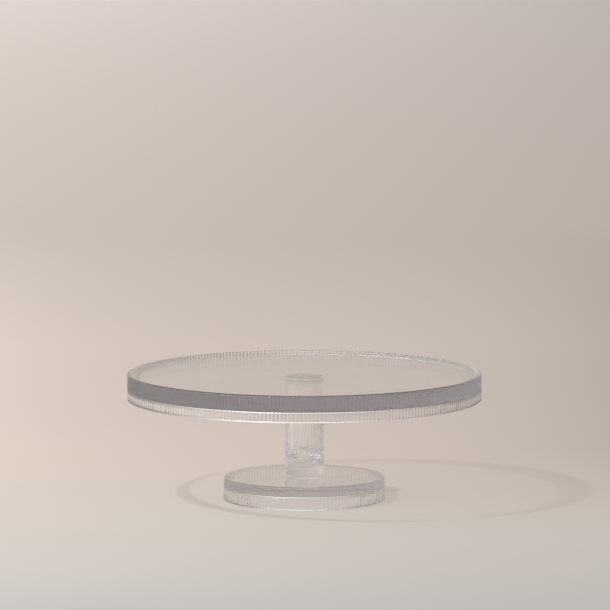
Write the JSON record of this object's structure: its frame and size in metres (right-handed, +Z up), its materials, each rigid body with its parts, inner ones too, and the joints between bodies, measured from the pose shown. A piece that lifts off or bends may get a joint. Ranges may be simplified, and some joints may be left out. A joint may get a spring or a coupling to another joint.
{
  "type": "turntable display stand",
  "caption": "Clear ribbed glass display stand: a round plate with a low lip and ribbed skirt turns on a slim swivel on a ribbed stem and round skirted foot.",
  "frame": {"origin": "middle of the foot's ring, on the surface the stand is put on", "axes": "+Z up along the stem, which is also the plate's turning axis; the stand is round, so X and Y are free"},
  "size_m": [0.3, 0.3, 0.108],
  "materials": {
    "clear_glass": "pressed clear glass with a faint grey-violet tint in its thickness",
    "clear_adhesive": "cured clear adhesive film",
    "satin_race": "satin turned aluminium",
    "bright_steel": "polished steel",
    "cage_nylon": "natural nylon",
    "washer_ptfe": "white low-friction washer"
  },
  "bodies": {
    "stand": {"base": "clear_glass", "foot_bond": "clear_adhesive", "stem": "clear_glass", "head_bond": "clear_adhesive", "lower_race": "satin_race", "pivot_pin": "bright_steel", "thrust_washer": "washer_ptfe"},
    "cage": {"ball_cage": "cage_nylon", "bearing_balls": "bright_steel"},
    "plate": {"upper_race": "satin_race", "plate_bond": "clear_adhesive", "top_plate": "clear_glass"}
  },
  "joints": [
    {"name": "plate_spin", "type": "hinge", "parent": "stand", "child": "plate", "pos_m": [0, 0, 0.0923], "axis": [0, 0, 1], "continuous": true},
    {"name": "cage_orbit", "type": "hinge", "parent": "stand", "child": "cage", "pos_m": [0, 0, 0.0918], "axis": [0, 0, 1], "continuous": true}
  ],
  "couplings": [
    {"joint": "cage_orbit", "follows": "plate_spin", "ratio": 0.5}
  ]
}
